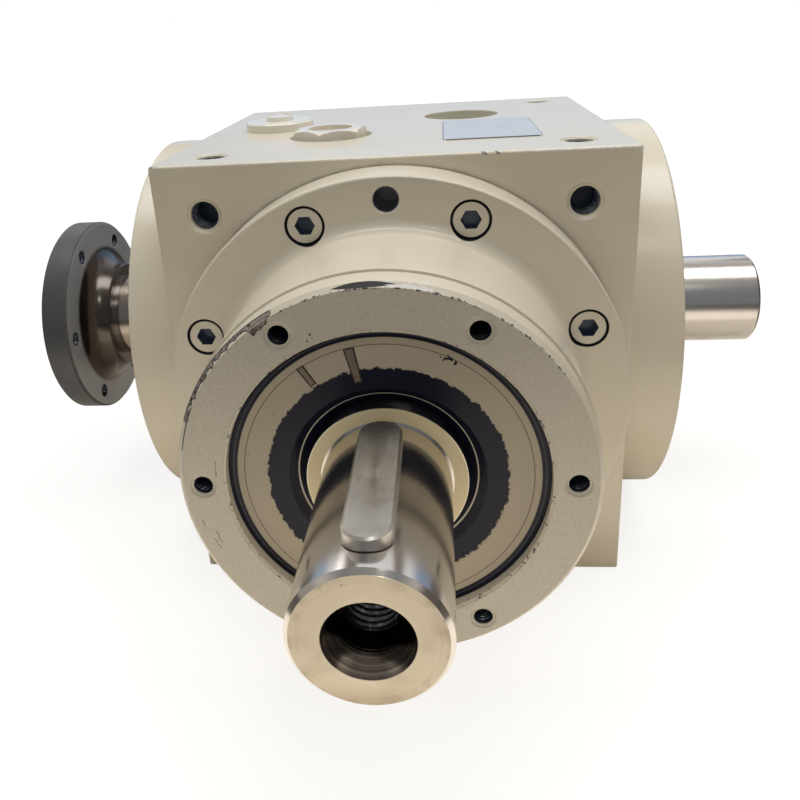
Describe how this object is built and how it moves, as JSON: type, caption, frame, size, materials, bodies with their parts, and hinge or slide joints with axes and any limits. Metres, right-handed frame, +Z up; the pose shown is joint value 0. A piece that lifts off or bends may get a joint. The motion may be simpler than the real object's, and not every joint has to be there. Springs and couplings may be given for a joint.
{
  "type": "right angle gearbox",
  "caption": "Cube right angle gearbox: keyed front shaft in a flanged nose, cross shaft with a plain end and a dark flanged hub, joined by spiral bevel gears.",
  "frame": {"origin": "centre of the housing's bottom face", "axes": "+Z up, -Y along the front shaft out of the housing, +X along the cross shaft to its plain end"},
  "size_m": [0.2595, 0.2505, 0.1446],
  "materials": {
    "cream_paint": "semi-gloss cream paint over cast iron",
    "bright_steel": "turned and ground steel",
    "key_steel": "drawn key steel",
    "dark_steel": "blackened steel",
    "gear_steel": "case-hardened gear steel",
    "shim_steel": "rolled shim steel",
    "seal_rubber": "black nitrile rubber",
    "sight_glass": "clear glass over oil",
    "bearing_steel": "ground bearing steel",
    "cage_steel": "pressed sheet steel"
  },
  "bodies": {
    "case": {"housing": "cream_paint", "sight_body": "cream_paint", "sight_glass": "sight_glass", "sunk_plug": "dark_steel", "breather": "cream_paint", "front_carrier": "cream_paint", "front_shim": "shim_steel", "front_screws": "cream_paint", "front_seal": "seal_rubber", "right_cover": "cream_paint", "right_shim": "shim_steel", "right_screws": "cream_paint", "right_seal": "seal_rubber", "left_cover": "cream_paint", "left_shim": "shim_steel", "left_screws": "cream_paint", "left_seal": "seal_rubber", "inner_cup": "bearing_steel", "outer_cup": "bearing_steel", "right_cup": "bearing_steel", "left_cup": "bearing_steel"},
    "input": {"front_shaft": "bright_steel", "front_key": "key_steel", "lock_nut": "dark_steel", "lock_washer": "dark_steel", "inner_cone": "bearing_steel", "outer_cone": "bearing_steel"},
    "output": {"cross_shaft": "bright_steel", "bevel_gear": "gear_steel", "gear_key": "key_steel", "hub": "dark_steel", "hub_key": "key_steel", "right_cone": "bearing_steel", "left_cone": "bearing_steel"},
    "inner_roller_set": {"inner_rollers": "bearing_steel", "inner_cage": "cage_steel"},
    "outer_roller_set": {"outer_rollers": "bearing_steel", "outer_cage": "cage_steel"},
    "right_roller_set": {"right_rollers": "bearing_steel", "right_cage": "cage_steel"},
    "left_roller_set": {"left_rollers": "bearing_steel", "left_cage": "cage_steel"}
  },
  "joints": [
    {"name": "cross_shaft_spin", "type": "hinge", "parent": "case", "child": "output", "pos_m": [0, 0, 0.07], "axis": [1, 0, 0], "continuous": true},
    {"name": "front_shaft_spin", "type": "hinge", "parent": "case", "child": "input", "pos_m": [0, 0, 0.07], "axis": [0, -1, 0], "continuous": true},
    {"name": "inner_roller_spin", "type": "hinge", "parent": "case", "child": "inner_roller_set", "pos_m": [0, 0, 0.07], "axis": [0, -1, 0], "continuous": true},
    {"name": "outer_roller_spin", "type": "hinge", "parent": "case", "child": "outer_roller_set", "pos_m": [0, 0, 0.07], "axis": [0, -1, 0], "continuous": true},
    {"name": "right_roller_spin", "type": "hinge", "parent": "case", "child": "right_roller_set", "pos_m": [0, 0, 0.07], "axis": [1, 0, 0], "continuous": true},
    {"name": "left_roller_spin", "type": "hinge", "parent": "case", "child": "left_roller_set", "pos_m": [0, 0, 0.07], "axis": [1, 0, 0], "continuous": true}
  ],
  "couplings": [
    {"joint": "front_shaft_spin", "follows": "cross_shaft_spin", "ratio": -1},
    {"joint": "inner_roller_spin", "follows": "cross_shaft_spin", "ratio": -0.43479},
    {"joint": "outer_roller_spin", "follows": "cross_shaft_spin", "ratio": -0.43479},
    {"joint": "right_roller_spin", "follows": "cross_shaft_spin", "ratio": 0.43479},
    {"joint": "left_roller_spin", "follows": "cross_shaft_spin", "ratio": 0.43479}
  ]
}
